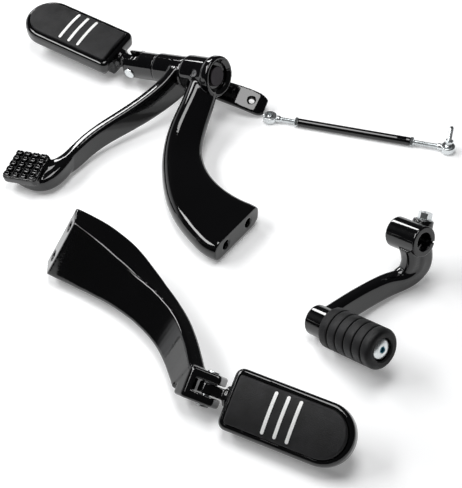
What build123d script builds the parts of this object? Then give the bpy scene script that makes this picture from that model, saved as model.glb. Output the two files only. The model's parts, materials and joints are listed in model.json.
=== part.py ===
from build123d import *
import math
import os

os.makedirs("parts", exist_ok=True)

# All sizes are millimetres. The kit lies on a floor at Z = 0, as it is laid out for a
# picture: right-hand control group behind, left bracket in front, shift lever to the right.

# Frame bolts and bracket ends
HOLE_SPACING = 38.1
HOLE_RADIUS = 4.75
HOLE_DEPTH = 30.0
FLARE_RADIUS = 6.2
FLARE_DEPTH = 1.5

# Pivot line of the brake pedal, measured along the pivot from the open end of the boss
BOSS_RADIUS = 19.0
BOSS_LENGTH = 42.0
COLLAR_RADIUS = 22.0
COLLAR_LENGTH = 10.0
SHAFT_RADIUS = 9.5
COUNTERBORE_RADIUS = 15.5
COUNTERBORE_DEPTH = 7.0
SHAFT_START = COUNTERBORE_DEPTH
SHAFT_SOCKET = 14.0
PLUG_RADIUS = 11.0
WASHER_RADIUS = 14.0
WASHER_THICK = 1.0
SIDE_PLAY = 0.1
HUB_LENGTH = 40.0
HUB_RADIUS = 16.5
BUSH_RADIUS = 12.0
BUSH_PLAY = 0.05
CLEVIS_RADIUS = 15.0
BLOCK_STOP = 12.0
BLOCK_HALF = 12.5
GRUB_RADIUS = 3.5
GRUB_PLACE = 21.5
GRUB_TURN = 44.0
HUB_START = BOSS_LENGTH + WASHER_THICK + SIDE_PLAY
HUB_STOP = HUB_START + HUB_LENGTH
MOUNT_START = HUB_STOP + SIDE_PLAY + WASHER_THICK
SHAFT_STOP = MOUNT_START + SHAFT_SOCKET

# Folding foot pegs
PIN_RADIUS = 4.0
PIN_PLAY = 0.05
PIN_HEAD_RADIUS = 6.0
PIN_HEAD_THICK = 1.4
CLIP_START = 0.4
CLIP_THICK = 0.8
PIN_TAIL = 1.8
SLOT_WIDTH = 12.4
TONGUE_WIDTH = 10.0
SPRING_GAP = 0.05
TONGUE_RADIUS = 9.0
SLOT_ROOT = 10.5
PEG_START = 22.0
PEG_LENGTH = 123.0
PEG_WIDTH = 58.0
PEG_CORNER = 8.0
RIM_TOP = 12.0
RIM_BOTTOM = -4.0
BELLY_BOTTOM = -13.0
BELLY_INSET = 6.0
KEEL_BOTTOM = -17.0
KEEL_LENGTH = 30.0
KEEL_WIDTH = 26.0
RIM_ROUND = 4.5
RUBBER_INSET = 6.0
RUBBER_FLOOR = 7.0
RUBBER_CROWN = 16.0
CROWN_RADIUS = 130.0
BAR_LENGTH = 40.0
BAR_WIDTH = 3.2
BAR_PITCH = 12.0
BAR_CENTRE = 77.5
BAR_PROUD = 0.4

# Brake pedal
PAD_LENGTH = 41.0
PAD_WIDTH = 38.0
PAD_THICK = 9.0
STUD_LENGTH = 7.0
STUD_WIDTH = 5.0
STUD_PITCH_X = 10.0
STUD_PITCH_Y = 7.4
STUD_HEIGHT = 2.4
STUD_COLUMNS = 4
STUD_ROWS = 5
ROD_HOLE_RADIUS = 3.2
ROD_FLAT_LEVEL = -2.9

# Brake rod
TUBE_RADIUS = 4.5
TUBE_LENGTH = 122.0
LEFT_REACH = 31.7
RIGHT_REACH = 40.8
THREAD_ENGAGED = 18.0
THREAD_HOLE = 24.0
THREAD_RADIUS = 2.5
EYE_RADIUS = 7.5
EYE_THICK = 7.0
BALL_RADIUS = 5.0
BALL_PLAY = 0.06
BALL_BORE = 2.6
NUT_FLATS = 9.0
NUT_THICK = 4.0
ROD_HEIGHT = 2.7

# Shift lever
PEG_BOSS_RADIUS = 15.0
PEG_BOSS_LENGTH = 24.0
PEG_CORE_RADIUS = 8.0
RUBBER_END = 90.0
RIB_COUNT = 6
RIB_RADIUS = 20.0
GROOVE_RADIUS = 17.8
GROOVE_WIDTH = 1.6
LEVER_REACH = 117.5
LEVER_RISE = 33.0
CLAMP_RADIUS = 15.3
CLAMP_LENGTH = 38.0
CLAMP_START = 0.0
SPLINE_RADIUS = 9.2
SPLINE_DEPTH = 0.9
SPLINE_TEETH = 24
SPLINE_LAND = 4  # width of the lands between the grooves, in grooves
SLIT_WIDTH = 1.6
CLAMP_BOLT_RADIUS = 3.0
BOLT_SEAT = 16.5
EAR_RADIUS = 10.3
EAR_TOP = 17.5
EAR_BOTTOM = -13.0
BOLT_FLANGE = 7.6
BOLT_FLATS = 12.0


def unit(v):
    """The vector scaled to length one."""
    return Vector(*v).normalized()


def round_bar(radius, low, high):
    """A round bar on the local Z axis between two heights."""
    return Pos(0, 0, (low + high) / 2) * Cylinder(radius, high - low)


def box_between(x0, x1, y0, y1, z0, z1):
    """A box given by its two limits on each axis."""
    centre = Pos((x0 + x1) / 2, (y0 + y1) / 2, (z0 + z1) / 2)
    return centre * Box(x1 - x0, y1 - y0, z1 - z0)


def hexagon(flats, low, high):
    """A hexagonal bar on the local Z axis."""
    sketch = RegularPolygon(flats / 2, 6, major_radius=False)
    return extrude(Pos(0, 0, low) * sketch, high - low)


def arm(points, widths, thicks, corners, across_first, across_last, count=10):
    """A cast arm lofted through rounded rectangles set evenly along a smooth line."""
    path = Spline(*[Vector(*point) for point in points])
    steps = [0.0]
    for one, two in zip(points, points[1:]):
        steps.append(steps[-1] + (Vector(*two) - Vector(*one)).length)
    sections = []
    for i in range(count):
        share = i / (count - 1)
        place = path.position_at(share * path.length, position_mode=PositionMode.LENGTH)
        along = path.tangent_at(share * path.length, position_mode=PositionMode.LENGTH)
        across = unit(across_first) * (1 - share) + unit(across_last) * share
        across = (across - along * across.dot(along)).normalized()
        size = [between(steps, values, share) for values in (widths, thicks, corners)]
        plane = Plane(origin=place, x_dir=across, z_dir=along)
        sections.append((plane * RectangleRounded(*size)).face())
    return loft(sections)


def between(steps, values, share):
    """Value at a share of the line, on straight runs between the given stations."""
    reach = share * steps[-1]
    for i in range(1, len(steps)):
        if reach <= steps[i] + 1e-6:
            part = (reach - steps[i - 1]) / (steps[i] - steps[i - 1])
            return values[i - 1] + (values[i] - values[i - 1]) * part
    return values[-1]


# Where each group lies: an origin and two directions in the kit frame
PIVOT_POINT = Vector(-12.0, 195.4, 56.0)
PIVOT_AXIS = unit((-0.779, 0.550, -0.300))
PEDAL_UP = unit((-0.335, 0.041, 0.942))
PIVOT = Plane(origin=PIVOT_POINT, x_dir=PEDAL_UP.cross(PIVOT_AXIS), z_dir=PIVOT_AXIS)
RIGHT_END = Plane(origin=(6.3, 2.1, 12.0), x_dir=(0.547, 0.837, 0), z_dir=(0.837, -0.547, 0))
LEFT_END = Plane(origin=(-164.1, -33.6, 37.7), x_dir=(0.466, 0.185, 0.866), z_dir=(-0.886, 0.074, 0.458))
SHIFT = Plane(origin=(80.1, -112.8, 12.2), x_dir=(0.738, 0.675, 0), z_dir=(0.642, -0.702, 0.308))
ROD_START = Vector(42.2, 191.1, ROD_HEIGHT)
ROD_ALONG = unit((0.967, -0.2555, 0))
ROD_STOP = ROD_START + ROD_ALONG * (LEFT_REACH + TUBE_LENGTH + RIGHT_REACH)
RIGHT_FOLD = 20.4
PIN_PLACE = 118.0
LEFT_PIN = Vector(-20.7, -207.1, 23.2)
LEFT_PEG_OUT = unit((0.891, -0.455, 0.008))
LEFT_PEG_UP = unit((-0.281, -0.535, 0.797))


def right_peg_plane():
    """Frame of the right peg: origin on its pin, X outward, Z up through the pad."""
    fold = math.radians(RIGHT_FOLD)
    pin = PIVOT.from_local_coords((0, 0, PIN_PLACE))
    out = PIVOT.y_dir * math.sin(fold) + PIVOT.z_dir * math.cos(fold)
    up = PIVOT.y_dir * math.cos(fold) - PIVOT.z_dir * math.sin(fold)
    return Plane(origin=pin, x_dir=out, z_dir=up)


def left_peg_plane():
    """Frame of the left peg, laid out like the right one."""
    return Plane(origin=LEFT_PIN, x_dir=LEFT_PEG_OUT, z_dir=LEFT_PEG_UP)


def frame_holes(plane):
    """The pair of bolt holes in a bracket's end face, flared at the mouth."""
    cut = None
    for side in (-1, 1):
        spot = Pos(side * HOLE_SPACING / 2, 0, 0)
        hole = spot * round_bar(HOLE_RADIUS, -HOLE_DEPTH, 1)
        flare = spot * Pos(0, 0, -FLARE_DEPTH / 2) * Cone(HOLE_RADIUS, FLARE_RADIUS, FLARE_DEPTH)
        both = hole + flare
        cut = both if cut is None else cut + both
    return plane * cut


def right_arm():
    """Arm of the right bracket: lies flat, bends edgewise and climbs to the boss."""
    points = [(6.3, 2.1, 12), (-15.4, 21.5, 12), (-34.0, 48.5, 12), (-46.8, 84.0, 12),
              (-50.5, 110.0, 13), (-49.5, 133.0, 16.5), (-44.0, 154.5, 23),
              (-37.0, 174.0, 31.5), (-30.0, 190.0, 41.0), (-26.0, 203.0, 48.5)]
    widths = [76, 74, 62, 49, 43, 40, 38, 35, 33, 30]
    thicks = [24, 24, 24, 24, 24, 24, 24, 23, 22, 20]
    corners = [10.5, 11, 11, 11, 11, 11, 11, 10.5, 10, 9]
    return arm(points, widths, thicks, corners, (0.547, 0.837, 0), (0.96, -0.05, -0.2))


def grub_line():
    """Frame of the set screw's hole: Z runs out of the boss through its wall."""
    return Rot(Z=GRUB_TURN) * Pos(0, 0, GRUB_PLACE) * Rot(Y=90)


def brake_bracket():
    """Right bracket: arm and pivot boss in one casting."""
    boss = round_bar(BOSS_RADIUS, 0, BOSS_LENGTH)
    collar = round_bar(COLLAR_RADIUS, 0, COLLAR_LENGTH)
    collar = fillet(collar.edges().filter_by(GeomType.CIRCLE), 1.6)
    bore = round_bar(SHAFT_RADIUS, -1, BOSS_LENGTH + 1)
    mouth = round_bar(COUNTERBORE_RADIUS, -1, COUNTERBORE_DEPTH)
    grub = grub_line() * round_bar(GRUB_RADIUS, SHAFT_RADIUS, BOSS_RADIUS + 8)
    body = right_arm() + PIVOT * (boss + collar)
    body = body - PIVOT * (bore + mouth + grub)
    return body - frame_holes(RIGHT_END)


def grub_screw():
    """Small set screw that keeps the shaft from turning in the boss."""
    body = round_bar(GRUB_RADIUS, SHAFT_RADIUS, BOSS_RADIUS - 2.2)
    socket = hexagon(3.4, BOSS_RADIUS - 4.4, BOSS_RADIUS)
    return PIVOT * grub_line() * (body - socket)


def pivot_shaft():
    """Steel shaft from the boss through the pedal hub into the peg mount."""
    return PIVOT * round_bar(SHAFT_RADIUS, SHAFT_START, SHAFT_STOP)


def pivot_plug():
    """Dark round head that closes the open end of the boss."""
    head = round_bar(PLUG_RADIUS, 3.5, SHAFT_START)
    head = fillet(head.edges().filter_by(GeomType.CIRCLE).sort_by(Axis.Z)[0], 1.0)
    return PIVOT * head


def thrust_washers():
    """The two thin washers either side of the pedal hub."""
    inner = round_bar(WASHER_RADIUS, BOSS_LENGTH, BOSS_LENGTH + WASHER_THICK)
    outer = round_bar(WASHER_RADIUS, HUB_STOP + SIDE_PLAY, MOUNT_START)
    hole = round_bar(SHAFT_RADIUS, BOSS_LENGTH - 1, MOUNT_START + 1)
    return Compound([PIVOT * (inner - hole), PIVOT * (outer - hole)])


def pedal_bush():
    """Bronze bush pressed into the pedal hub, running on the shaft."""
    sleeve = round_bar(BUSH_RADIUS, HUB_START, HUB_STOP)
    return PIVOT * (sleeve - round_bar(SHAFT_RADIUS + BUSH_PLAY, HUB_START - 1, HUB_STOP + 1))


def pedal_pad_plane():
    """Frame of the pedal pad in the kit frame: origin at the centre of its top."""
    return Plane(origin=(-211.5, 91.5, 22.5), x_dir=(0.907, -0.408, 0.107), z_dir=(-0.245, -0.075, 0.967))


def pedal_pad():
    """Pad of the pedal with its grid of raised square studs."""
    slab = extrude(RectangleRounded(PAD_LENGTH, PAD_WIDTH, 4), -PAD_THICK)
    slab = fillet(slab.edges().group_by(Axis.Z)[0], 2.5)
    stud = extrude(RectangleRounded(STUD_LENGTH, STUD_WIDTH, 1.2), STUD_HEIGHT + 0.2)
    stud = chamfer(stud.edges().group_by(Axis.Z)[-1], 0.8)
    studs = []
    for i in range(STUD_COLUMNS):
        for j in range(STUD_ROWS):
            across = (i - (STUD_COLUMNS - 1) / 2) * STUD_PITCH_X
            spot = Pos(across, (j - (STUD_ROWS - 1) / 2) * STUD_PITCH_Y, -0.2)
            studs.append(spot * stud)
    return PIVOT.location.inverse() * pedal_pad_plane().location * (slab + studs)


def pedal_foot():
    """Thickened underside that carries the pad and runs into the arm."""
    points = [(-17, -4, -6), (0, -4, -11), (14, -3, -14), (23, 7, -16.5), (28, 21, -19), (31, 38, -22.5)]
    widths = [22, 25, 26, 22, 15, 8]
    thicks = [4, 11, 17, 20, 20, 14]
    corners = [1.5, 3, 5, 5, 4, 3]
    foot = arm(points, widths, thicks, corners, (0, 1, 0), (-0.95, 0.3, 0), 8)
    return PIVOT.location.inverse() * pedal_pad_plane().location * foot


def pedal_arm():
    """Curved arm from the hub to the pad, with its step sideways before the pad."""
    points = [(6, -2, 51.5), (28, -5, 55.5), (55, -4.5, 63.5), (80, -2, 71.5), (103, 1.5, 79),
              (123, 4, 84), (143, 5.5, 87), (163, 8, 87.5), (180, 13, 91), (194, 20, 99)]
    widths = [34, 32, 29, 27, 25, 24, 23, 22, 20, 14]
    thicks = [12, 12, 12, 12, 12, 12, 12, 12, 13, 15]
    corners = [3, 3, 3, 3, 3, 3, 3, 3, 3.5, 3.5]
    return arm(points, widths, thicks, corners, (0, 1, 0), (0.1, 1, -0.1))


def rod_arm():
    """Short arm that reaches back beside the boss and carries the brake rod."""
    points = [(-8, -12, 52), (-13, -26, 44), (-17, -38, 26), (-19, -45, 8), (-21.5, -52, -5),
              (-24, -59, -13), (-26, -64, -18.5)]
    widths = [20, 22, 23, 24, 24.5, 24, 17]
    thicks = [10, 9, 8, 8, 8, 8, 5]
    corners = [2, 2, 2, 2, 2, 2, 2]
    return arm(points, widths, thicks, corners, (0.9, -0.4, 0), (0.86, -0.3, 0.1))


def rod_flat_and_hole():
    """Milled flat at the end of the rod arm and the bolt hole through it."""
    along = unit((-0.2, -0.54, -0.82))
    across = unit((0.87, -0.31, 0.09))
    plane = Plane(origin=(-22.0, -53.0, -6.5), x_dir=along, z_dir=along.cross(across))
    flat = box_between(-14.8, 30, -20, 20, -12, ROD_FLAT_LEVEL)
    return plane * (flat + Cylinder(ROD_HOLE_RADIUS, 40))


def brake_pedal():
    """Brake pedal: hub, pedal arm with its pad, and the rod arm, in one casting."""
    hub = round_bar(HUB_RADIUS, HUB_START, HUB_STOP)
    hub = fillet(hub.edges().filter_by(GeomType.CIRCLE), 1.0)
    body = hub + pedal_arm() + pedal_foot() + pedal_pad() + rod_arm()
    clear_boss = round_bar(COLLAR_RADIUS + 2, -30, HUB_START)
    bore = round_bar(BUSH_RADIUS, HUB_START - 1, HUB_STOP + 1)
    body = body - clear_boss - bore - rod_flat_and_hole()
    return PIVOT * body


def peg_outline(inset):
    """Plan shape of a peg: square inner end with round corners, half-round outer end."""
    half = PEG_WIDTH / 2 - inset
    start = PEG_START + inset
    centre = PEG_START + PEG_LENGTH - PEG_WIDTH / 2
    block = Pos((start + centre) / 2, 0) * Rectangle(centre - start, 2 * half)
    block = fillet(block.vertices().group_by(Axis.X)[0], max(PEG_CORNER - inset, 3))
    return block + Pos(centre, 0) * Circle(half)


def peg_body():
    """Gloss peg shell: tongue, rim with its pocket, and a rounded belly below."""
    rim = extrude(Pos(0, 0, RIM_BOTTOM) * peg_outline(0), RIM_TOP - RIM_BOTTOM)
    rim = fillet(rim.edges().group_by(Axis.Z)[-1], RIM_ROUND)
    rim = fillet(rim.edges().group_by(Axis.Z)[0], 4.0)
    belly = extrude(Pos(0, 0, BELLY_BOTTOM) * peg_outline(BELLY_INSET), RIM_BOTTOM + 2 - BELLY_BOTTOM)
    belly = fillet(belly.edges().group_by(Axis.Z)[0], 4.5)
    keel_stop = PEG_START + KEEL_LENGTH
    keel = box_between(PEG_START, keel_stop, -KEEL_WIDTH / 2, KEEL_WIDTH / 2, KEEL_BOTTOM, 0)
    keel = fillet(keel.edges().group_by(Axis.X)[-1], 6.0)
    keel = fillet(keel.edges().group_by(Axis.Z)[0].group_by(Axis.X)[0], 3.0)
    pocket = extrude(Pos(0, 0, RUBBER_FLOOR) * peg_outline(RUBBER_INSET), 20)
    tongue = Rot(X=90) * Pos(0, 0, -TONGUE_WIDTH / 2) * Cylinder(
        TONGUE_RADIUS, TONGUE_WIDTH, align=(Align.CENTER, Align.CENTER, Align.MIN))
    neck = box_between(0, PEG_START + 6, -TONGUE_WIDTH / 2, TONGUE_WIDTH / 2, -TONGUE_RADIUS, TONGUE_RADIUS - 3)
    flange = Rot(Y=90) * round_bar(10.0, PEG_START - 4.0, PEG_START + 4)
    flange = Pos(0, 0, -1.5) * flange
    pin_hole = Rot(X=90) * Cylinder(PIN_RADIUS + PIN_PLAY, 40)
    return rim + belly + keel + tongue + neck + flange - pocket - pin_hole


def crowned(inset, crown, floor):
    """A block with the peg's plan shape and a top arched across the width."""
    block = extrude(Pos(0, 0, floor) * peg_outline(inset), 30)
    length = PEG_LENGTH + 40
    arch = Rot(Y=90) * Cylinder(CROWN_RADIUS, length)
    arch = Pos(PEG_START + PEG_LENGTH / 2, 0, crown - CROWN_RADIUS) * arch
    return block & arch


def bar_slots(height):
    """Three slim upright slabs with round ends, one for each inlay bar."""
    slabs = []
    for i in (-1, 0, 1):
        spot = Pos(BAR_CENTRE + i * BAR_PITCH, 0, RUBBER_CROWN - 4)
        slabs.append(spot * extrude(SlotOverall(BAR_LENGTH, BAR_WIDTH, rotation=90), height))
    return slabs


def peg_rubber():
    """Domed rubber pad that fills the pocket of the shell."""
    pad = crowned(RUBBER_INSET, RUBBER_CROWN, RUBBER_FLOOR)
    edges = pad.edges().filter_by(lambda e: e.center().Z > RIM_TOP + 1)
    pad = fillet(edges, 2.0)
    for slab in bar_slots(10):
        pad = pad - slab
    return pad


def peg_bars():
    """Three polished bars let into the rubber."""
    top = crowned(RUBBER_INSET, RUBBER_CROWN + BAR_PROUD, RUBBER_FLOOR)
    return Compound([(slab & top).solid() for slab in bar_slots(10)])


def pin_parts():
    """Clevis pin on the local Y axis: head on the +Y side, clip groove on the other."""
    reach = CLEVIS_RADIUS
    shank = round_bar(PIN_RADIUS, -reach - PIN_TAIL, reach)
    head = round_bar(PIN_HEAD_RADIUS, reach, reach + PIN_HEAD_THICK)
    head = fillet(head.edges().group_by(Axis.Z)[-1], 0.8)
    groove_low = -reach - CLIP_START - CLIP_THICK
    groove = round_bar(PIN_RADIUS + 2, groove_low, groove_low + CLIP_THICK)
    groove = groove - round_bar(PIN_RADIUS - 1, groove_low, groove_low + CLIP_THICK)
    return Rot(X=-90) * (shank + head - groove)


def clip_ring():
    """Flat retaining clip in the groove of a clevis pin, open on one side."""
    low = -CLEVIS_RADIUS - CLIP_START - CLIP_THICK
    high = low + CLIP_THICK
    ring = round_bar(PIN_RADIUS + 2.2, low, high) - round_bar(PIN_RADIUS - 1, low - 1, high + 1)
    gap = box_between(-1.8, 1.8, 0, 9, low - 1, low + 2)
    ear_left = box_between(-3.6, -1.8, 4.5, 9.0, low, high)
    ear_right = box_between(1.8, 3.6, 4.5, 9.0, low, high)
    return Rot(X=-90) * (ring - gap + ear_left + ear_right)


def slot_cut(depth):
    """Slot for the peg's tongue, open toward +X in a peg frame."""
    return box_between(-SLOT_ROOT, depth, -SLOT_WIDTH / 2, SLOT_WIDTH / 2, -40, 40)


def spring_washer():
    """Wave washer that fills the slot beside the tongue."""
    side = TONGUE_WIDTH / 2 + SPRING_GAP
    disc = round_bar(7.5, side, SLOT_WIDTH / 2) - round_bar(PIN_RADIUS, side - 1, side + 5)
    return Rot(X=-90) * disc


def right_clevis():
    """Peg mount on the end of the pivot shaft."""
    stop = PIN_PLACE + 9.5
    body = round_bar(CLEVIS_RADIUS, MOUNT_START, stop)
    body = fillet(body.edges().group_by(Axis.Z)[-1], 2.5)
    body = body - round_bar(SHAFT_RADIUS, MOUNT_START - 1, SHAFT_STOP)
    slot = box_between(-SLOT_WIDTH / 2, SLOT_WIDTH / 2, -40, 40, PIN_PLACE - SLOT_ROOT, stop + 1)
    hole = Pos(0, 0, PIN_PLACE) * Rot(Y=90) * Cylinder(PIN_RADIUS, 60)
    seats = box_between(-30, -CLEVIS_RADIUS, -30, 30, PIN_PLACE - 8, stop + 1)
    seats += box_between(CLEVIS_RADIUS, 30, -30, 30, PIN_PLACE - 8, stop + 1)
    return PIVOT * (body - slot - hole - seats)


def left_arm():
    """Arm of the left bracket: stands on its edge, bends toward the peg and narrows."""
    points = [(-177.8, -27.7, 40.2), (-164.1, -33.6, 37.7), (-136.1, -47.1, 32.2), (-111.3, -64.3, 27.7),
              (-91.0, -84.3, 23.7), (-70.5, -110.1, 21.2), (-56.5, -133.1, 20.2), (-48.0, -154.6, 20.2),
              (-42.5, -175.0, 21.2), (-38.0, -195.2, 22.7)]
    widths = [69, 69, 66, 58, 49, 43, 39, 36, 33, 28]
    thicks = [24, 24, 24, 23, 21, 19, 18, 18, 18, 18]
    corners = [10.5, 10.5, 10, 9, 8, 7, 6.5, 6, 6, 6]
    first = (0.466, 0.185, 0.866)
    body = arm(points, widths, thicks, corners, first, (0.359, 0.711, 0.604), 11)
    return body - LEFT_END * box_between(-60, 60, -60, 60, 0, 60)


def left_bracket():
    """Left bracket: arm and peg clevis in one casting."""
    plane = left_peg_plane()
    block = box_between(-30, BLOCK_STOP, -CLEVIS_RADIUS, CLEVIS_RADIUS, -BLOCK_HALF, BLOCK_HALF)
    block = fillet(block.edges(), 3.5)
    hole = Rot(X=90) * Cylinder(PIN_RADIUS, 60)
    body = left_arm() + plane * block
    body = body - plane * (slot_cut(40) + hole)
    return body - frame_holes(LEFT_END)


def rod_plane(point, turn):
    """Frame on the brake rod: Z along the rod away from the given end."""
    along = ROD_ALONG * turn
    side = Vector(0, 0, 1).cross(along).normalized()
    return Plane(origin=point, x_dir=side, z_dir=along)


def rod_middle():
    """Frame at the middle of the brake rod, Z toward its right-hand end."""
    return rod_plane(ROD_START + ROD_ALONG * (LEFT_REACH + TUBE_LENGTH / 2), 1)


def rod_tube():
    """Black tube of the brake rod with two flats for a spanner."""
    half = TUBE_LENGTH / 2
    bar = round_bar(TUBE_RADIUS, -half, half)
    bore = round_bar(THREAD_RADIUS, -half - 1, -half + THREAD_HOLE)
    bore = bore + round_bar(THREAD_RADIUS, half - THREAD_HOLE, half + 1)
    flat_low = box_between(-8, 8, -8, -TUBE_RADIUS + 0.8, half - 14, half - 4)
    flat_high = box_between(-8, 8, TUBE_RADIUS - 0.8, 8, half - 14, half - 4)
    bar = chamfer(bar.edges().filter_by(GeomType.CIRCLE), 0.5)
    return rod_middle() * (bar - bore - flat_low - flat_high)


def lock_nuts():
    """Lock nuts against both ends of the tube."""
    half = TUBE_LENGTH / 2
    hole = round_bar(THREAD_RADIUS, -half - 20, half + 20)
    left = hexagon(NUT_FLATS, -half - NUT_THICK, -half) - hole
    right = hexagon(NUT_FLATS, half, half + NUT_THICK) - hole
    return Compound([rod_middle() * left, rod_middle() * right])


def rod_end(point, turn, reach):
    """Rod end: eye with a spherical seat on a threaded shank that enters the tube."""
    plane = rod_plane(point, turn)
    eye = Plane(origin=(0, 0, 0), x_dir=(1, 0, 0), z_dir=(0, 1, 0)) * Cylinder(EYE_RADIUS, EYE_THICK)
    eye = fillet(eye.edges().filter_by(GeomType.CIRCLE), 0.8)
    neck = round_bar(3.6, 3, 11)
    shank = round_bar(THREAD_RADIUS, 6, reach + THREAD_ENGAGED)
    body = eye + neck + shank - Sphere(BALL_RADIUS + BALL_PLAY)
    return plane * body


def eye_ball():
    """Bored ball of the left rod end."""
    ball = Sphere(BALL_RADIUS) & Cylinder(BALL_RADIUS + 1, 2 * (EYE_THICK / 2 + 0.9))
    ball = ball - Cylinder(BALL_BORE, 30)
    return Pos(*ROD_START) * ball


def ball_stud():
    """Ball of the right rod end with its collar and threaded stud pointing up."""
    ball = Sphere(BALL_RADIUS) & round_bar(BALL_RADIUS + 1, -EYE_THICK / 2 - 0.9, BALL_RADIUS)
    neck = round_bar(2.6, 3, 8)
    collar = hexagon(8.0, 7.0, 10.0)
    stud = round_bar(2.3, 9, 27)
    stud = chamfer(stud.edges().group_by(Axis.Z)[-1], 0.5)
    return Pos(*ROD_STOP) * Rot(X=-6, Y=4) * (ball + neck + collar + stud)


def spline_bore():
    """Toothed bore of the lever's clamp end."""
    points = []
    for i in range(SPLINE_TEETH * 2):
        angle = math.pi * i / SPLINE_TEETH
        radius = SPLINE_RADIUS + (SPLINE_DEPTH if i % 2 else -SPLINE_LAND * SPLINE_DEPTH)
        points.append((radius * math.cos(angle), radius * math.sin(angle)))
    grooves = extrude(make_face(Polyline(*points, close=True)), CLAMP_LENGTH, both=True)
    return grooves + Cylinder(SPLINE_RADIUS, 2 * CLAMP_LENGTH)


def clamp_frame():
    """Frame of the clamp: origin at mid-length of the bore, X along the slit."""
    return Pos(LEVER_REACH, LEVER_RISE, CLAMP_START + CLAMP_LENGTH / 2) * Rot(Z=-30)


BOLT_OFFSET = SPLINE_RADIUS + SPLINE_DEPTH + CLAMP_BOLT_RADIUS + 2.0


def clamp_hub():
    """Clamp end of the lever: round hub with ears either side of the slit."""
    hub = Cylinder(CLAMP_RADIUS, CLAMP_LENGTH)
    hub = fillet(hub.edges().filter_by(GeomType.CIRCLE), 1.0)
    ear = Pos(BOLT_OFFSET - 1, 0, 0) * Rot(X=-90) * round_bar(EAR_RADIUS, EAR_BOTTOM, EAR_TOP)
    ear = fillet(ear.edges().filter_by(GeomType.CIRCLE), 1.5)
    return hub + ear


def clamp_cuts():
    """What is cut from the clamp end: bore, slit and bolt hole with its pocket."""
    slit = box_between(0, 40, -SLIT_WIDTH / 2, SLIT_WIDTH / 2, -40, 40)
    hole = Pos(BOLT_OFFSET, 0, 0) * Rot(X=90) * Cylinder(CLAMP_BOLT_RADIUS, 60)
    pocket = Pos(BOLT_OFFSET, BOLT_SEAT + 10, 0) * Rot(X=90) * Cylinder(BOLT_FLANGE + 0.5, 20)
    return spline_bore() + slit + hole + pocket


def clamp_bolt():
    """Zinc flanged hexagon bolt that pulls the slit together."""
    seat = BOLT_SEAT
    flange = round_bar(BOLT_FLANGE, seat, seat + 1.8)
    head = hexagon(BOLT_FLATS, seat + 1.8, seat + 8.0)
    dimple = Pos(0, 0, seat + 8.0) * Sphere(3.0)
    shank = round_bar(CLAMP_BOLT_RADIUS, EAR_BOTTOM + 1, seat)
    bolt = flange + head + shank - dimple
    return SHIFT * clamp_frame() * Pos(BOLT_OFFSET, 0, 0) * Rot(X=-90) * bolt


def shift_lever():
    """Shift lever: peg boss with its core, curved arm and clamp end."""
    boss = round_bar(PEG_BOSS_RADIUS, 0, PEG_BOSS_LENGTH)
    boss = fillet(boss.edges().filter_by(GeomType.CIRCLE), 1.0)
    core = round_bar(PEG_CORE_RADIUS, 2, RUBBER_END - 12)
    points = [(0, 0, 12), (30, -1, 11), (60, -3, 11.5), (88, -6, 14), (108, -7, 18),
              (119, 0, 21.5), (122, 13, 24), (119.5, 30, 25)]
    widths = [25, 24, 23.5, 23, 23, 23, 23, 20]
    thicks = [15, 14, 14, 15, 17, 19, 20, 20]
    corners = [4.5, 4.5, 4.5, 5, 6, 7, 7, 7]
    curve = arm(points, widths, thicks, corners, (0, 1, 0), (-1, 0, 0), 12)
    body = boss + core + curve + clamp_frame() * clamp_hub()
    body = body - clamp_frame() * clamp_cuts()
    tap = round_bar(3.0, RUBBER_END - 32, RUBBER_END)
    return SHIFT * (body - tap)


def shift_rubber():
    """Ribbed rubber sleeve on the lever's peg."""
    start = PEG_BOSS_LENGTH
    sleeve = round_bar(RIB_RADIUS, start, RUBBER_END)
    pitch = (RUBBER_END - start) / RIB_COUNT
    for i in range(1, RIB_COUNT):
        place = start + i * pitch
        ring = round_bar(RIB_RADIUS + 5, place - GROOVE_WIDTH / 2, place + GROOVE_WIDTH / 2)
        sleeve = sleeve - (ring - round_bar(GROOVE_RADIUS, place - 5, place + 5))
    rims = sleeve.edges().filter_by(GeomType.CIRCLE)
    outer = rims.filter_by(lambda e: e.radius > RIB_RADIUS - 0.1)
    ends = outer.filter_by(lambda e: e.center().Z > RUBBER_END - 0.1)
    sleeve = fillet(ends, 5.0)
    bore = round_bar(PEG_CORE_RADIUS, start - 1, RUBBER_END - 12)
    recess = round_bar(11.5, RUBBER_END - 6, RUBBER_END + 1)
    passage = round_bar(5.0, RUBBER_END - 13, RUBBER_END)
    return SHIFT * (sleeve - bore - recess - passage)


def shift_screw():
    """Silver button-head screw and cup washer that hold the rubber."""
    washer = round_bar(11.0, RUBBER_END - 6, RUBBER_END - 4.4)
    head = round_bar(10.4, RUBBER_END - 4.4, RUBBER_END - 0.8)
    head = fillet(head.edges().group_by(Axis.Z)[-1], 2.4)
    socket = hexagon(5.5, RUBBER_END - 3.8, RUBBER_END)
    shank = round_bar(3.0, RUBBER_END - 30, RUBBER_END - 5)
    return SHIFT * (washer + head + shank - socket)


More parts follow.
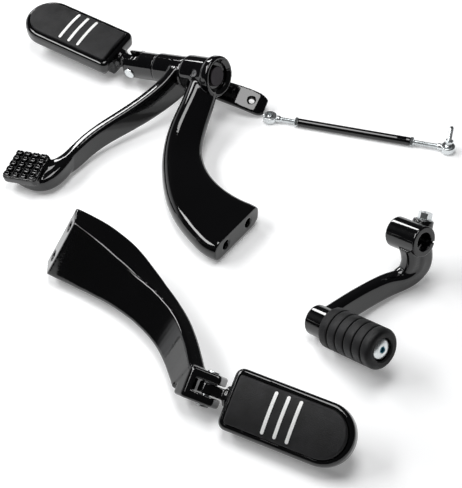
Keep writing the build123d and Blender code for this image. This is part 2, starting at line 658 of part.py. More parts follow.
def kit():
    """Every piece of the kit by node name."""
    right = right_peg_plane()
    left = left_peg_plane()
    return {
        "brake_bracket": brake_bracket(),
        "pivot_grub_screw": grub_screw(),
        "pivot_shaft": pivot_shaft(),
        "pivot_plug": pivot_plug(),
        "thrust_washers": thrust_washers(),
        "pedal_bush": pedal_bush(),
        "brake_pedal": brake_pedal(),
        "right_peg_mount": right_clevis(),
        "right_peg_pin": right * pin_parts(),
        "right_pin_clip": right * clip_ring(),
        "right_spring_washer": right * spring_washer(),
        "right_peg_body": right * peg_body(),
        "right_peg_rubber": right * peg_rubber(),
        "right_peg_bars": right * peg_bars(),
        "rod_tube": rod_tube(),
        "rod_lock_nuts": lock_nuts(),
        "rod_end_left": rod_end(ROD_START, 1, LEFT_REACH),
        "rod_end_right": rod_end(ROD_STOP, -1, RIGHT_REACH),
        "rod_eye_ball": eye_ball(),
        "rod_ball_stud": ball_stud(),
        "left_bracket": left_bracket(),
        "left_peg_pin": left * pin_parts(),
        "left_pin_clip": left * clip_ring(),
        "left_spring_washer": left * spring_washer(),
        "left_peg_body": left * peg_body(),
        "left_peg_rubber": left * peg_rubber(),
        "left_peg_bars": left * peg_bars(),
        "shift_lever": shift_lever(),
        "shift_clamp_bolt": clamp_bolt(),
        "shift_peg_rubber": shift_rubber(),
        "shift_peg_screw": shift_screw(),
    }


pieces = kit()
bounds = Compound([solid for shape in pieces.values() for solid in shape.solids()]).bounding_box()
shift = Vector(-(bounds.min.X + bounds.max.X) / 2, -(bounds.min.Y + bounds.max.Y) / 2, -bounds.min.Z)
print("moved by", tuple(round(v, 4) for v in shift), "size", tuple(round(v, 2) for v in bounds.size))
for name, shape in pieces.items():
    solids = [Pos(*shift) * solid for solid in shape.solids()]
    placed = solids[0] if len(solids) == 1 else Compound(solids)
    print(name, len(solids), round(sum(s.volume for s in solids) / 1000, 2))
    export_step(placed, f"parts/{name}.step")
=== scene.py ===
"""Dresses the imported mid-control kit for a studio picture. Everything is in metres, in the row frame."""
import json
import math

import bmesh
import bpy
from mathutils import Matrix, Vector


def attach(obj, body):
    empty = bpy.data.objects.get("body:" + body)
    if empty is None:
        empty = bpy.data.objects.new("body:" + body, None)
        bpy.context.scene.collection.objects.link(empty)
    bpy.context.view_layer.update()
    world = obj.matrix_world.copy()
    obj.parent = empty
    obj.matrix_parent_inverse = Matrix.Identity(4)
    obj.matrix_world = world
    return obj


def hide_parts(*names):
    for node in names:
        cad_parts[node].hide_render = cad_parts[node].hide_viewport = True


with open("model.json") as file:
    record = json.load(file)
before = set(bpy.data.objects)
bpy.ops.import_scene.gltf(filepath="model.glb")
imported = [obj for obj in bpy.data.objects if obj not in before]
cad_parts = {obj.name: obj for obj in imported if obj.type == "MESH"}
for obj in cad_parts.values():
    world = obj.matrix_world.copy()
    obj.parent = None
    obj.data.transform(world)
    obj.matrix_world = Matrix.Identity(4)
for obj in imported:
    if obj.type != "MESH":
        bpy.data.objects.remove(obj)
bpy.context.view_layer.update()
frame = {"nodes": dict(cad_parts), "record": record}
nodes = frame["nodes"]
record = frame["record"]
scene = bpy.context.scene

MM = 0.001


# Frames: the drawing's own millimetres, and where its origin lies in the row frame

def unit(*v):
    return Vector(v).normalized()


def joint_point(name):
    joints = {joint["name"]: joint for joint in record["behaviour"]["joints"]}
    return Vector(joints[name]["pos_m"])


PIVOT_AXIS = unit(-0.779, 0.550, -0.300)
PEDAL_UP = unit(-0.335, 0.041, 0.942)
PIVOT_X = PEDAL_UP.cross(PIVOT_AXIS).normalized()
PIVOT_Y = PIVOT_AXIS.cross(PIVOT_X)
HUB_MIDDLE = 63.1 * MM
PIVOT_PLACE = Vector((-12.0, 195.4, 56.0)) * MM  # the boss's open end in the drawing
PIVOT = joint_point("brake_pedal_swing") - PIVOT_AXIS * HUB_MIDDLE
ORIGIN = PIVOT - PIVOT_PLACE
TO_ROW = Matrix.Translation(ORIGIN)


def plane(origin, x_dir, z_dir):
    """Matrix of a frame whose origin is in drawing millimetres."""
    z = Vector(z_dir).normalized()
    x = Vector(x_dir).normalized()
    y = z.cross(x).normalized()
    x = y.cross(z)
    turn = Matrix((x, y, z)).transposed().to_4x4()
    return Matrix.Translation(ORIGIN + Vector(origin) * MM) @ turn


LEFT_ACROSS = (0.466, 0.185, 0.866)  # direction of the left arm's width at its bolted end
LEFT_END = plane((-164.1, -33.6, 37.7), LEFT_ACROSS, (-0.886, 0.074, 0.458))
LEFT_PEG = plane((-20.7, -207.1, 23.2), (0.891, -0.455, 0.008), (-0.281, -0.535, 0.797))
SHIFT = plane((80.1, -112.8, 12.2), (0.738, 0.675, 0), (0.642, -0.702, 0.308))
PAD = plane((-211.5, 91.5, 22.5), (0.907, -0.408, 0.107), (-0.245, -0.075, 0.967))


# Materials

class Nodes:
    """Small helper for building a material's node tree."""

    def __init__(self, name):
        self.mat = bpy.data.materials.new(name)
        self.mat.use_nodes = True
        self.tree = self.mat.node_tree
        self.tree.nodes.clear()
        self.out = self.add("ShaderNodeOutputMaterial")
        self.bsdf = self.add("ShaderNodeBsdfPrincipled")
        self.link(self.bsdf, "BSDF", self.out, "Surface")
        self.coord = self.add("ShaderNodeTexCoord")

    def add(self, kind):
        return self.tree.nodes.new(kind)

    def link(self, a, a_socket, b, b_socket):
        self.tree.links.new(a.outputs[a_socket], b.inputs[b_socket])

    def noise(self, scale, detail, rough=0.5, stretch=None):
        node = self.add("ShaderNodeTexNoise")
        node.inputs["Scale"].default_value = scale
        node.inputs["Detail"].default_value = detail
        node.inputs["Roughness"].default_value = rough
        if stretch:
            mapping = self.add("ShaderNodeMapping")
            mapping.inputs["Scale"].default_value = stretch
            self.link(self.coord, "Object", mapping, "Vector")
            self.link(mapping, "Vector", node, "Vector")
        else:
            self.link(self.coord, "Object", node, "Vector")
        return node

    def colour(self, source, low, high):
        """Base colour that runs from low to high with the source's noise."""
        node = self.add("ShaderNodeValToRGB")
        for element, position, tone in zip(node.color_ramp.elements, (0.3, 0.7), (low, high)):
            element.position = position
            element.color = (*tone, 1.0)
        self.link(source, "Fac", node, "Fac")
        self.link(node, "Color", self.bsdf, "Base Color")

    def roughness(self, source, low, high):
        """Roughness that runs from low to high with the source's noise."""
        node = self.add("ShaderNodeMapRange")
        node.inputs["To Min"].default_value = low
        node.inputs["To Max"].default_value = high
        self.link(source, "Fac", node, "Value")
        self.link(node, "Result", self.bsdf, "Roughness")

    def bump(self, source, socket, strength, distance, after=None):
        """Fine relief, laid over an earlier one where that is given."""
        node = self.add("ShaderNodeBump")
        node.inputs["Strength"].default_value = strength
        node.inputs["Distance"].default_value = distance
        self.link(source, socket, node, "Height")
        if after:
            self.link(after, "Normal", node, "Normal")
        self.link(node, "Normal", self.bsdf, "Normal")
        return node

    def set(self, name, value):
        self.bsdf.inputs[name].default_value = value


def gloss_black():
    """Thick glossy paint with a faint orange peel."""
    paint = Nodes("gloss_black")
    paint.colour(paint.noise(scale=9.0, detail=3.0), (0.0008, 0.0008, 0.001), (0.0016, 0.0016, 0.002))
    paint.roughness(paint.noise(scale=35.0, detail=4.0), 0.035, 0.085)
    paint.bump(paint.noise(scale=260.0, detail=1.0), "Fac", strength=0.05, distance=0.0004)
    paint.set("IOR", 1.56)
    return paint.mat


def pad_rubber():
    """Mottled black rubber with a pebbled surface."""
    tone = 0.006
    dark = (tone * 0.4, tone * 0.4, tone * 0.45)
    pale = (tone * 1.9, tone * 1.9, tone * 2.1)
    cloth = Nodes("pad_rubber")
    cloth.colour(cloth.noise(scale=55.0, detail=4.0), dark, pale)
    cloth.roughness(cloth.noise(scale=48.0, detail=6.0, rough=0.65), 0.22, 0.88)
    fine = cloth.noise(scale=900.0, detail=5.0, rough=0.6)
    cells = cloth.add("ShaderNodeTexVoronoi")
    cells.inputs["Scale"].default_value = 1100.0
    cloth.link(cloth.coord, "Object", cells, "Vector")
    pebbles = cloth.bump(cells, "Distance", strength=0.35, distance=0.0003)
    cloth.bump(fine, "Fac", strength=0.3, distance=0.0003, after=pebbles)
    cloth.set("Specular IOR Level", 0.3)
    return cloth.mat


def bright_metal(name, tone, smooth, rough, metallic=1.0, scale=500.0, stretch=None):
    """Metal of the given tone, its roughness between the smooth and the rough value along its grain."""
    metal = Nodes(name)
    dim = tuple(v * 0.86 for v in tone)
    metal.colour(metal.noise(scale=70.0, detail=3.0), dim, tone)
    grain = metal.noise(scale, detail=3.0, stretch=stretch)
    metal.roughness(grain, smooth, rough)
    metal.bump(grain, "Fac", strength=0.06, distance=0.0002)
    metal.set("Metallic", metallic)
    return metal.mat


PAINT = gloss_black()
RUBBER = pad_rubber()
BARS = bright_metal("polished_bar", (0.97, 0.97, 0.96), 0.3, 0.4, 0.3, 90.0, stretch=(1.0, 12.0, 12.0))
ZINC = bright_metal("zinc_plate", (0.74, 0.77, 0.78), 0.22, 0.36)
SOCKET = bright_metal("blue_socket", (0.16, 0.42, 0.52), 0.3, 0.45)
STEEL = bright_metal("dull_steel", (0.42, 0.42, 0.43), 0.3, 0.45)
BRONZE = bright_metal("bush_bronze", (0.55, 0.38, 0.2), 0.3, 0.42)
PLUG = bright_metal("plug_dark", (0.03, 0.027, 0.03), 0.25, 0.4)

BY_SLOT = {
    "black_castings": PAINT, "black_rubber": RUBBER, "polished_bars": BARS,
    "zinc_steel": ZINC, "bronze": BRONZE, "black_tube": PAINT, "dark_plug": PLUG,
    "plain_steel": STEEL,
}
SLOT_OF = {part["node"]: part["material_slot"] for part in record["subparts"]}
BODY_OF = {name: body for body, names in record["behaviour"]["bodies"].items() for name in names}


def paint_node(name):
    """Gives a CAD node its material and leaves its mesh as it is."""
    for slot in nodes[name].material_slots:
        slot.link = "OBJECT"
        slot.material = BY_SLOT[SLOT_OF[name]]


for name in nodes:
    paint_node(name)


# Making of pieces: each replaces one CAD node, on that node's body

SHARP_ANGLE = 35.0  # edges that turn more than this stay sharp on turned pieces
FACE_SINK = 2.0  # how far under a casting's face its skin may lie and still be moved with it


def new_object(name, mesh):
    obj = bpy.data.objects.new(name, mesh)
    scene.collection.objects.link(obj)
    return obj


def discard(obj):
    mesh = obj.data
    bpy.data.objects.remove(obj)
    bpy.data.meshes.remove(mesh)


def finish_piece(obj, material, node):
    """Paints the piece and puts it in the CAD node's place."""
    obj.data.materials.clear()
    obj.data.materials.append(material)
    for poly in obj.data.polygons:
        poly.use_smooth = True
    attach(obj, BODY_OF[node])
    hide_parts(node)


def bake(obj):
    """Applies the object's modifiers to its mesh."""
    graph = bpy.context.evaluated_depsgraph_get()
    mesh = bpy.data.meshes.new_from_object(obj.evaluated_get(graph))
    old = obj.data
    obj.modifiers.clear()
    obj.data = mesh
    bpy.data.meshes.remove(old)


def casting(node, name, voxel, passes, mesh=None):
    """A cast piece: the CAD solid's skin, or the given mesh, re-made evenly and softened at its joins."""
    obj = new_object(name, mesh or nodes[node].data.copy())
    skin = obj.modifiers.new("skin", "REMESH")
    skin.mode = "VOXEL"
    skin.voxel_size = voxel * MM
    soft = obj.modifiers.new("soft", "SMOOTH")
    soft.factor = 0.5
    soft.iterations = passes
    bake(obj)
    finish_piece(obj, PAINT, node)
    return obj


def built_mesh(name, build):
    """Mesh made by a builder function, its faces turned outward."""
    bm = bmesh.new()
    build(bm)
    bmesh.ops.recalc_face_normals(bm, faces=bm.faces)
    mesh = bpy.data.meshes.new(name)
    bm.to_mesh(mesh)
    bm.free()
    return mesh


def turned_piece(name, build, place, material, node):
    """A piece made by the given builder function in its own frame, then placed."""
    mesh = built_mesh(name, build)
    mesh.transform(place)
    finish_piece(new_object(name, mesh), material, node)
    mesh.set_sharp_from_angle(angle=math.radians(SHARP_ANGLE))


def solid(name, build):
    """A loose object made by a builder function, for joining or cutting only."""
    return new_object(name, built_mesh(name, build))


def cut(obj, cutter):
    """Takes the cutter's shape out of the object and discards the cutter."""
    mod = obj.modifiers.new("cut", "BOOLEAN")
    mod.operation = "DIFFERENCE"
    mod.solver = "EXACT"
    mod.object = cutter
    bake(obj)
    discard(cutter)


def joined(*objects):
    """One mesh with all the objects' faces; the objects are discarded."""
    bm = bmesh.new()
    for obj in objects:
        bm.from_mesh(obj.data)
    mesh = bpy.data.meshes.new("joined")
    bm.to_mesh(mesh)
    bm.free()
    for obj in objects:
        discard(obj)
    return mesh


# Lathe work: profiles are (radius, height) pairs in millimetres about a frame's own Z

CHAMFER_SLANT = 1.4  # width of a hexagon's chamfer over its height
CREST_START = 0.45  # a thread's crest, in shares of its pitch
CREST_STOP = 0.6


def skin_rings(bm, rings):
    """Adds the faces between each ring of points and the next."""
    for low, high in zip(rings, rings[1:]):
        for i in range(len(low)):
            j = (i + 1) % len(low)
            bm.faces.new((low[i], low[j], high[j], high[i]))


def close_ends(bm, rings):
    bm.faces.new(list(reversed(rings[0])))
    bm.faces.new(rings[-1])


def lathe(bm, profile, sides, turn=Matrix.Identity(4)):
    """Adds a turned surface to the mesh, with flat ends unless the profile closes on itself."""
    closed = profile[0] == profile[-1]
    rings = []
    for radius, height in profile[:-1] if closed else profile:
        ring = []
        for i in range(sides):
            angle = 2 * math.pi * i / sides
            spot = Vector((radius * math.cos(angle), radius * math.sin(angle), height)) * MM
            ring.append(bm.verts.new(turn @ spot))
        rings.append(ring)
    if closed:
        rings.append(rings[0])
    skin_rings(bm, rings)
    if not closed:
        close_ends(bm, rings)


def hexagon_bar(bm, flats, low, high, edge):
    """Adds a hexagonal bar whose corners are chamfered like a nut's."""
    corner = flats / 2 / math.cos(math.pi / 6)
    end = corner - edge * CHAMFER_SLANT
    lathe(bm, [(end, low), (corner, low + edge), (corner, high - edge), (end, high)], 6)


def screw_thread(radius, low, high, pitch, depth):
    """Profile of a threaded stretch as a row of fine crests."""
    points = []
    height = low
    while height + pitch <= high + 1e-6:
        crest = [(radius, height + pitch * CREST_START), (radius, height + pitch * CREST_STOP)]
        points += [(radius - depth, height)] + crest
        height += pitch
    points.append((radius - depth, high))
    return points


def arc(radius, centre_r, centre_z, start, stop, steps=6):
    """Profile points along an arc given by two angles in degrees."""
    points = []
    for i in range(steps + 1):
        angle = math.radians(start + (stop - start) * i / steps)
        points.append((centre_r + radius * math.cos(angle), centre_z + radius * math.sin(angle)))
    return points


# Lofted and boxed solids, in millimetres of the frame that they are given

SPAN_STEPS = 20
CORNER_STEPS = 4


def smooth_line(points, count):
    """Places and directions set evenly along a smooth curve through the points."""
    ends = [2 * points[0] - points[1]] + points + [2 * points[-1] - points[-2]]
    fine = []
    for a, b, c, d in zip(ends, ends[1:], ends[2:], ends[3:]):
        for k in range(SPAN_STEPS):
            t = k / SPAN_STEPS
            fine.append(0.5 * (2 * b + (c - a) * t + (2 * a - 5 * b + 4 * c - d) * t ** 2
                               + (3 * b - 3 * c + d - a) * t ** 3))
    fine.append(points[-1])
    steps = [0.0]
    for one, two in zip(fine, fine[1:]):
        steps.append(steps[-1] + (two - one).length)
    line = []
    k = 0
    for i in range(count):
        target = steps[-1] * i / (count - 1)
        while k < len(fine) - 2 and steps[k + 1] < target:
            k += 1
        share = (target - steps[k]) / max(steps[k + 1] - steps[k], 1e-9)
        line.append((fine[k].lerp(fine[k + 1], share), (fine[k + 1] - fine[k]).normalized()))
    return line


def along_values(values, share):
    """Value between the listed ones at a share of the way."""
    spot = share * (len(values) - 1)
    k = min(int(spot), len(values) - 2)
    return values[k] + (values[k + 1] - values[k]) * (spot - k)


def loft(bm, stations, corner, first, last, count, turn):
    """Adds an arm lofted through rounded rectangles, whose width runs along first and then last.

    A station is a point, a width, a thickness and a lean. The lean lowers the front corner of the upper
    edge face, so that this face leans forward.
    """
    points, widths, thicks, leans = zip(*stations)
    rings = []
    for i, (spot, along) in enumerate(smooth_line([Vector(point) for point in points], count)):
        share = i / (count - 1)
        across = unit(*first) * (1 - share) + unit(*last) * share
        across = (across - along * across.dot(along)).normalized()
        side = along.cross(across)
        width, thick, lean = (along_values(values, share) for values in (widths, thicks, leans))
        ring = []
        for quarter, (sx, sy) in enumerate(((1, 1), (-1, 1), (-1, -1), (1, -1))):
            for k in range(CORNER_STEPS + 1):
                angle = math.radians(90 * quarter + 90 / CORNER_STEPS * k)
                x = sx * (width / 2 - corner) + corner * math.cos(angle) - (lean if quarter == 0 else 0)
                y = sy * (thick / 2 - corner) + corner * math.sin(angle)
                ring.append(bm.verts.new(turn @ ((spot + across * x + side * y) * MM)))
        rings.append(ring)
    skin_rings(bm, rings)
    close_ends(bm, rings)


def box(bm, low, high):
    """Adds a box between two corners."""
    made = bmesh.ops.create_cube(bm, size=1.0)["verts"]
    centre = (Vector(low) + Vector(high)) / 2 * MM
    size = (Vector(high) - Vector(low)) * MM
    place = Matrix.Translation(centre) @ Matrix.Diagonal((*size, 1.0))
    bmesh.ops.transform(bm, matrix=place, verts=made)


def slice_off(bm, point, normal):
    """Takes away what lies beyond the plane and closes the cut."""
    whole = bm.verts[:] + bm.edges[:] + bm.faces[:]
    made = bmesh.ops.bisect_plane(bm, geom=whole, plane_co=point, plane_no=normal, clear_outer=True)
    rim = [item for item in made["geom_cut"] if isinstance(item, bmesh.types.BMEdge)]
    bmesh.ops.contextual_create(bm, geom=rim)


# Right bracket, its collar and the plain castings

RIM_RADIUS = 18.9
DISH_SLOPE = 0.8
DISH_DEPTH = 4.0


def dished_collar(obj):
    """Slopes the collar's end face inward, which leaves a narrow rim round the boss's open end."""
    boss = Matrix((PIVOT_X, PIVOT_Y, PIVOT_AXIS)).transposed().to_4x4()
    boss.translation = PIVOT
    back = boss.inverted()
    for vertex in obj.data.vertices:
        spot = back @ vertex.co
        slope = (RIM_RADIUS * MM - math.hypot(spot.x, spot.y)) * DISH_SLOPE
        if 0 < slope < DISH_DEPTH * MM and -FACE_SINK * MM < spot.z < slope:
            spot.z = slope
            vertex.co = boss @ spot


dished_collar(casting("brake_bracket", "bracket_right", voxel=1.0, passes=12))
casting("right_peg_body", "peg_shell_right", voxel=0.9, passes=8)
casting("left_peg_body", "peg_shell_left", voxel=0.9, passes=8)
casting("right_peg_mount", "peg_mount", voxel=0.55, passes=5)


# Brake rod: its ends, lock nuts and stud

ROD_START = (42.2, 191.1, 2.7)
ROD_ALONG = unit(0.967, -0.2555, 0)
LEFT_REACH = 31.7
RIGHT_REACH = 40.8
TUBE_LENGTH = 122.0
ROD_MIDDLE = Vector(ROD_START) + ROD_ALONG * (LEFT_REACH + TUBE_LENGTH / 2)
ROD_STOP = Vector(ROD_START) + ROD_ALONG * (LEFT_REACH + TUBE_LENGTH + RIGHT_REACH)
EYE_EDGE = 1.2  # rounding of the eye's rim
EYE_FLAT = 6.3  # radius of the eye's flat face
EYE_HALF = 2.3  # half of the eye's thickness, up to the rounding
SHANK_RADIUS = 2.75
SHANK_OVERLAP = 6.0  # how far a shank reaches into the tube
NUT_FLATS = 9.0
NUT_LENGTH = 4.0
BALL_RADIUS = 5.0
STUD_RADIUS = 2.3
STUD_FLATS = 8.0


def rod_frame(point, turn):
    """Frame on the rod: Z along it away from the given end, Y straight up or down."""
    along = ROD_ALONG * turn
    return plane(point, Vector((0, 0, 1)).cross(along), along)


def rod_eye(reach):
    """Builder of a rod end: rounded eye, tapered neck and threaded shank."""
    def build(bm):
        ring = arc(EYE_EDGE, EYE_FLAT, -EYE_HALF, -90, 0) + arc(EYE_EDGE, EYE_FLAT, EYE_HALF, 0, 90)
        seat = [(4.0, 3.5), (4.6, 2.3), (5.06, 0.0), (4.6, -2.3), (4.0, -3.5)]
        lathe(bm, ring + seat + ring[:1], 56, Matrix.Rotation(math.radians(90), 4, "X"))
        neck = [(3.2, 6.2), (3.6, 8.0), (3.6, 10.5), (3.2, 11.4), (2.7, 12.0)]
        lathe(bm, neck + screw_thread(SHANK_RADIUS, 12.2, reach + SHANK_OVERLAP, 1.0, 0.35), 32)
    return build


def nuts(bm):
    half = TUBE_LENGTH / 2
    for low, high in ((-half - NUT_LENGTH, -half), (half, half + NUT_LENGTH)):
        hexagon_bar(bm, NUT_FLATS, low, high, 0.6)


def upright_stud(bm):
    """Ball of the right rod end with its hexagonal collar and threaded stud."""
    heights = (-4.4, -3.4, -2.2, -1.0, 0.0, 1.0, 2.2, 3.2, 4.0)
    ball = [(math.sqrt(BALL_RADIUS ** 2 - z * z), z) for z in heights]
    lathe(bm, ball + [(2.6, 4.3), (2.6, 7.2)], 40)
    hexagon_bar(bm, STUD_FLATS, 7.0, 10.0, 0.45)
    lathe(bm, [(2.0, 9.5)] + screw_thread(STUD_RADIUS, 10.0, 26.2, 0.9, 0.32) + [(1.7, 27.0)], 32)


STUD_LEAN = Matrix.Rotation(math.radians(-6), 4, "X") @ Matrix.Rotation(math.radians(4), 4, "Y")
STUD = Matrix.Translation(ORIGIN + ROD_STOP * MM) @ STUD_LEAN

turned_piece("rod_eye_left", rod_eye(LEFT_REACH), rod_frame(ROD_START, 1), ZINC, "rod_end_left")
turned_piece("rod_eye_right", rod_eye(RIGHT_REACH), rod_frame(ROD_STOP, -1), ZINC, "rod_end_right")
turned_piece("lock_nuts", nuts, rod_frame(ROD_MIDDLE, 1), ZINC, "rod_lock_nuts")
turned_piece("upright_stud", upright_stud, STUD, ZINC, "rod_ball_stud")


# Left bracket: a lofted arm with its bolt holes, joined to the peg's clevis

LEFT_STATIONS = (
    ((-177.8, -27.7, 40.2), 69, 24, 2),
    ((-164.1, -33.6, 37.7), 69, 24, 5),
    ((-136.1, -47.1, 32.2), 66, 25, 10),
    ((-111.3, -64.3, 27.7), 60, 25, 12),
    ((-91.0, -84.3, 23.7), 51, 23, 9),
    ((-70.5, -110.1, 21.2), 44, 20, 4),
    ((-56.5, -133.1, 20.2), 40, 18.5, 2),
    ((-48.0, -154.6, 20.2), 37, 18, 1),
    ((-42.5, -175.0, 21.2), 34.5, 18, 0),
    ((-38.0, -195.2, 22.7), 31.5, 18.5, 0),
)
LEFT_CORNER = 3.0
BOLT_SPACING = 38.1
BOLT_RADIUS = 4.75
BOLT_DEPTH = 30
MOUTH_RADIUS = 6.2
MOUTH_DEPTH = 1.5
MOUTH_CLEAR = 4  # how far the hole's cutter stands out of the end face
BLOCK_LOW = (-29, -15, -12.5)
BLOCK_HIGH = (12, 15, 12.5)
BLOCK_EDGE = 2.6
SLOPE_PLACE = (-26.4, 0, 5.0)  # where the block's back upper edge is cut away
SLOPE_OUT = (-0.642, 0, 0.766)
SLOT_START = -10.5
SLOT_HALF = 6.2
PIN_RADIUS = 4.0
PIN_REACH = 30
CLEAR = 40  # how far the slot's cutter reaches past the clevis's middle


def left_arm(bm):
    """The left bracket's arm: crisp ridges between its broad face and its edge faces."""
    loft(bm, LEFT_STATIONS, LEFT_CORNER, LEFT_ACROSS, (0.359, 0.711, 0.604), 48, TO_ROW)
    slice_off(bm, LEFT_END.translation, LEFT_END.col[2].to_3d())


def left_block(bm):
    """The peg clevis's block, its back upper edge cut away so that the arm's face runs into it."""
    box(bm, BLOCK_LOW, BLOCK_HIGH)
    slice_off(bm, Vector(SLOPE_PLACE) * MM, Vector(SLOPE_OUT))
    bmesh.ops.bevel(bm, geom=bm.edges[:], offset=BLOCK_EDGE * MM, segments=4, affect="EDGES", profile=0.5)
    bm.transform(LEFT_PEG)


def frame_holes(bm):
    """Cutter for the pair of bolt holes in the bracket's end, flared at the mouth."""
    hole = [(BOLT_RADIUS, -BOLT_DEPTH), (BOLT_RADIUS, -MOUTH_DEPTH), (MOUTH_RADIUS, 0),
            (MOUTH_RADIUS, MOUTH_CLEAR)]
    for side in (-1, 1):
        lathe(bm, hole, 40, LEFT_END @ Matrix.Translation((side * BOLT_SPACING / 2 * MM, 0, 0)))


def clevis_cut(bm):
    """Cutter for the slot of the peg's tongue."""
    box(bm, (SLOT_START, -SLOT_HALF, -CLEAR), (CLEAR, SLOT_HALF, CLEAR))
    bm.transform(LEFT_PEG)


def pin_cut(bm):
    """Cutter for the hole of the clevis pin."""
    across = LEFT_PEG @ Matrix.Rotation(math.radians(90), 4, "X")
    lathe(bm, [(PIN_RADIUS, -PIN_REACH), (PIN_RADIUS, PIN_REACH)], 40, across)


arm_piece = solid("arm_piece", left_arm)
cut(arm_piece, solid("holes", frame_holes))
block_piece = solid("block_piece", left_block)
cut(block_piece, solid("slot", clevis_cut))
cut(block_piece, solid("pin_hole", pin_cut))
casting("left_bracket", "bracket_left", voxel=0.95, passes=8, mesh=joined(arm_piece, block_piece))


# Shift lever with a fuller leg, and its slit filled with a black block as painted shade, but for the notch

LEG_STATIONS = (
    ((98, -5, 15.5), 20, 14, 0),
    ((107, -2, 18.5), 20, 16, 0),
    ((111.5, 8, 22), 20, 18, 0),
    ((112, 20, 24), 20, 19, 0),
    ((110.5, 30, 24.5), 20, 19, 0),
)
LEG_CORNER = 6
CLAMP_PLACE = Vector((117.5, 33, 19)) * MM
CLAMP_TURN = -30
# painted shade: corners of the black block that fills the clamp's slit so that it shows dark
SHADE_BLOCK_LOW = (9.5, -1.2, -18.5)
SHADE_BLOCK_HIGH = (19.0, 1.2, 13.0)


def lever_leg(bm):
    """Thickens the lever's upright leg below its clamp."""
    loft(bm, LEG_STATIONS, LEG_CORNER, (0, 1, 0), (-1, 0, 0), 14, SHIFT)


def slit_shade_block(bm):
    """Fills the clamp's slit with a black block, as painted shade for the slit's dark inside, except for
    the notch that shows at its near end.
    """
    box(bm, SHADE_BLOCK_LOW, SHADE_BLOCK_HIGH)
    turn = Matrix.Rotation(math.radians(CLAMP_TURN), 4, "Z")
    bm.transform(SHIFT @ Matrix.Translation(CLAMP_PLACE) @ turn)


leg = solid("leg", lever_leg)
# the slit's painted shade, a black block joined into the lever
shade_block = solid("shade_block", slit_shade_block)
whole = solid("whole", lambda bm: bm.from_mesh(nodes["shift_lever"].data))
casting("shift_lever", "lever", voxel=0.66, passes=6, mesh=joined(whole, leg, shade_block))


# Shift peg: ribbed sleeve and the screw that holds it

RUBBER_START = 24.0
RUBBER_END = 90.0
SLEEVE_BORE = 8.05
SLEEVE_RADIUS = 20.0
SLEEVE_ROUND = 5.0
RECESS_RADIUS = 11.5
RIBS = 6
RIB_EDGE = ((17.4, 0.5), (19.5, 0.7), (19.9, 1.2), (SLEEVE_RADIUS, 2.0))
SCREW_SEAT = 85.6
SOCKET_RADIUS = 3.25
SOCKET_FLOOR = 85.7


def ribbed_sleeve(bm):
    """Rubber sleeve with softly rounded ribs, a domed end and a recess for the screw."""
    pitch = (RUBBER_END - RUBBER_START) / RIBS
    profile = [(SLEEVE_BORE, RUBBER_START + 0.05), (19.0, RUBBER_START + 0.05)]
    for i in range(RIBS):
        low = RUBBER_START + i * pitch
        profile += [(radius, low + rise) for radius, rise in RIB_EDGE]
        if i < RIBS - 1:
            profile += [(radius, low + pitch - rise) for radius, rise in reversed(RIB_EDGE)]
    profile.append((SLEEVE_RADIUS, RUBBER_END - 5.2))
    profile += arc(SLEEVE_ROUND, SLEEVE_RADIUS - SLEEVE_ROUND, RUBBER_END - SLEEVE_ROUND, 0, 90, 7)
    profile += [(12.3, RUBBER_END), (RECESS_RADIUS, RUBBER_END - 0.8), (RECESS_RADIUS, RUBBER_END - 6)]
    profile += [(SLEEVE_BORE, RUBBER_END - 6.05), profile[0]]
    lathe(bm, profile, 96)


def screw_head(bm):
    """Broad domed head of the screw that holds the sleeve, with its shank."""
    foot = (3.5, SCREW_SEAT)
    dome = [(10.9, SCREW_SEAT), (10.9, 86.4), (10.4, 87.1), (8.8, 88.0), (6.6, 88.7), (4.2, 89.1),
            (3.5, 89.0)]
    lathe(bm, [foot] + dome + [(3.2, 88.7), (3.2, SCREW_SEAT), foot], 56)
    lathe(bm, [(2.9, 62.0), (2.9, 85.8)], 24)


def screw_socket(bm):
    """Hexagonal walls and floor of the screw's socket."""
    foot = (SOCKET_RADIUS, SOCKET_FLOOR)
    wall = [(SOCKET_RADIUS, 88.75), (2.95, 88.75), (2.95, 86.6)]
    lathe(bm, [foot] + wall + [(0.02, 86.5), (0.02, SOCKET_FLOOR), foot], 6)


turned_piece("ribbed_sleeve", ribbed_sleeve, SHIFT, RUBBER, "shift_peg_rubber")
turned_piece("screw_head", screw_head, SHIFT, ZINC, "shift_peg_screw")
turned_piece("screw_socket", screw_socket, SHIFT, SOCKET, "shift_peg_screw")


# Brake pedal and the grid of studs on its pad

PAD_REACH = (21.5, 20.0)
PAD_GRID = (4, 5)
PAD_STEP = (10.0, 7.4)
PAD_STUD = (7.8, 5.6, 4.8)
PAD_STUD_EDGE = 1.5


def bare_pad(obj):
    """Levels the pad's studs, so that the finer ones can stand in their place."""
    back = PAD.inverted()
    for vertex in obj.data.vertices:
        spot = back @ vertex.co
        on_pad = abs(spot.x) < PAD_REACH[0] * MM and abs(spot.y) < PAD_REACH[1] * MM
        if on_pad and -FACE_SINK * MM < spot.z:
            spot.z = min(spot.z, 0.1 * MM)
            vertex.co = PAD @ spot


def stud_grid(bm):
    """The pedal pad's grid of raised studs with rounded tops."""
    for i in range(PAD_GRID[0]):
        for j in range(PAD_GRID[1]):
            x = (i - (PAD_GRID[0] - 1) / 2) * PAD_STEP[0]
            y = (j - (PAD_GRID[1] - 1) / 2) * PAD_STEP[1]
            cube = bmesh.ops.create_cube(bm, size=1.0)["verts"]
            size = Matrix.Diagonal((*(side * MM for side in PAD_STUD), 1.0))
            place = Matrix.Translation(Vector((x, y, 0.4)) * MM) @ size
            bmesh.ops.transform(bm, matrix=place, verts=cube)
    edges = list(bm.edges)
    bmesh.ops.bevel(bm, geom=edges, offset=PAD_STUD_EDGE * MM, segments=4, affect="EDGES", profile=0.5)


bare_pad(casting("brake_pedal", "pedal", voxel=0.9, passes=12))
turned_piece("pad_studs", stud_grid, PAD, PAINT, "brake_pedal")


# Small rounding on the sharp edges of the machined CAD pieces

MACHINED_EDGE = 0.25


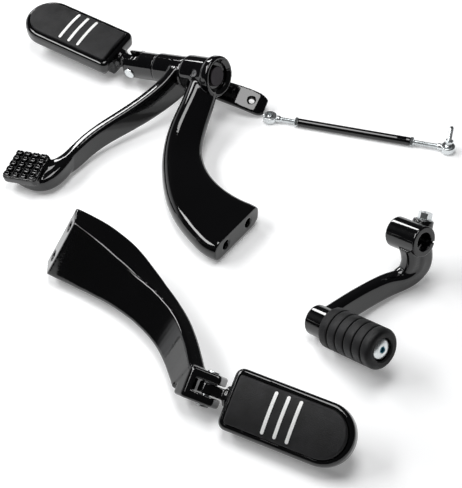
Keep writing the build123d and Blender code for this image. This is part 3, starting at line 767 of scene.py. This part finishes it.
def bevel_node(name):
    mod = nodes[name].modifiers.new("edge", "BEVEL")
    mod.width = MACHINED_EDGE * MM
    mod.segments = 2
    mod.limit_method = "ANGLE"
    mod.angle_limit = math.radians(40)


for name in ("shift_clamp_bolt", "right_peg_pin", "left_peg_pin", "rod_tube"):
    bevel_node(name)


# Floor, lights and surroundings

FLOOR_HALF = 6.0
FLOOR_LIFT = 0.2  # light that the floor adds of itself where a camera, glossy or transmission ray meets it


def floor_material():
    mat = bpy.data.materials.new("pale_floor")
    mat.use_nodes = True
    tree = mat.node_tree
    tree.nodes.clear()
    out = tree.nodes.new("ShaderNodeOutputMaterial")
    matt = tree.nodes.new("ShaderNodeBsdfDiffuse")
    matt.inputs["Color"].default_value = (0.88, 0.885, 0.89, 1)
    glow = tree.nodes.new("ShaderNodeEmission")
    glow.inputs["Color"].default_value = (1, 1, 1, 1)
    paths = tree.nodes.new("ShaderNodeLightPath")
    mirrored = tree.nodes.new("ShaderNodeMath")
    mirrored.operation = "MAXIMUM"
    seen = tree.nodes.new("ShaderNodeMath")
    seen.operation = "MAXIMUM"
    lift = tree.nodes.new("ShaderNodeMath")
    lift.operation = "MULTIPLY"
    lift.inputs[1].default_value = FLOOR_LIFT
    both = tree.nodes.new("ShaderNodeAddShader")
    link = tree.links.new
    link(paths.outputs["Is Glossy Ray"], mirrored.inputs[0])
    link(paths.outputs["Is Transmission Ray"], mirrored.inputs[1])
    link(mirrored.outputs[0], seen.inputs[0])
    link(paths.outputs["Is Camera Ray"], seen.inputs[1])
    link(seen.outputs[0], lift.inputs[0])
    link(lift.outputs[0], glow.inputs["Strength"])
    link(matt.outputs[0], both.inputs[0])
    link(glow.outputs[0], both.inputs[1])
    link(both.outputs[0], out.inputs["Surface"])
    return mat


def floor():
    mesh = bpy.data.meshes.new("floor")
    corners = [(x * FLOOR_HALF, y * FLOOR_HALF, 0) for x, y in ((-1, -1), (1, -1), (1, 1), (-1, 1))]
    mesh.from_pydata(corners, [], [(0, 1, 2, 3)])
    obj = new_object("floor", mesh)
    mesh.materials.append(floor_material())


def softbox(name, direction, distance, width, height, radiance, up=(0, 0, 1)):
    """Radiance is what a mirror would show of it.
    """
    data = bpy.data.lights.new(name, "AREA")
    data.shape = "RECTANGLE"
    data.size = width
    data.size_y = height
    data.energy = radiance * math.pi * width * height
    away = Vector(direction).normalized()
    x = Vector(up).cross(away).normalized()
    turn = Matrix((x, away.cross(x), away)).transposed().to_4x4()
    new_object(name, data).matrix_world = Matrix.Translation(away * distance) @ turn


def studio_sweep():
    """Dim surroundings that brighten softly toward the low backdrop at the left rear."""
    world = bpy.data.worlds.new("studio")
    world.use_nodes = True
    scene.world = world
    tree = world.node_tree
    background = tree.nodes["Background"]
    background.inputs["Color"].default_value = (0.97, 0.98, 1.0, 1)
    coord = tree.nodes.new("ShaderNodeTexCoord")
    facing = tree.nodes.new("ShaderNodeVectorMath")
    facing.operation = "DOT_PRODUCT"
    facing.inputs[1].default_value = unit(-0.80, 0.60, 0.02)
    fade = tree.nodes.new("ShaderNodeMapRange")
    fade.interpolation_type = "SMOOTHSTEP"
    fade.inputs["From Min"].default_value = 0.86
    fade.inputs["From Max"].default_value = 1.0
    fade.inputs["To Min"].default_value = 0.05
    fade.inputs["To Max"].default_value = 1.2
    tree.links.new(coord.outputs["Generated"], facing.inputs[0])
    tree.links.new(facing.outputs["Value"], fade.inputs["Value"])
    tree.links.new(fade.outputs["Result"], background.inputs["Strength"])


floor()
softbox("overhead", (-0.01, 0.05, 1.0), distance=1.65, width=0.64, height=1.1, radiance=7.0,
        up=(0, 1, 0))
softbox("back", (-0.33, 0.80, 0.50), distance=2.0, width=0.56, height=0.25, radiance=16.0)
softbox("left_side", (-0.68, 0.06, 0.73), distance=1.65, width=1.3, height=0.45, radiance=10.5)
studio_sweep()


# Camera at the photograph's viewing angle

FOCAL_PIXELS = 1600.0
FRAME_HEIGHT = 488
EYE = Vector((0.0, -1131.4, 1131.4)) * MM

camera_data = bpy.data.cameras.new("camera")
camera_data.sensor_fit = "VERTICAL"
camera_data.sensor_height = 24.0
camera_data.lens = FOCAL_PIXELS * camera_data.sensor_height / FRAME_HEIGHT
camera_data.clip_start = 0.05
camera_data.clip_end = 30.0
camera = new_object("camera", camera_data)
aim = EYE.to_track_quat("Z", "Y").to_matrix().to_4x4()
camera.matrix_world = Matrix.Translation(ORIGIN + EYE) @ aim
scene.camera = camera
scene.view_settings.view_transform = "Standard"
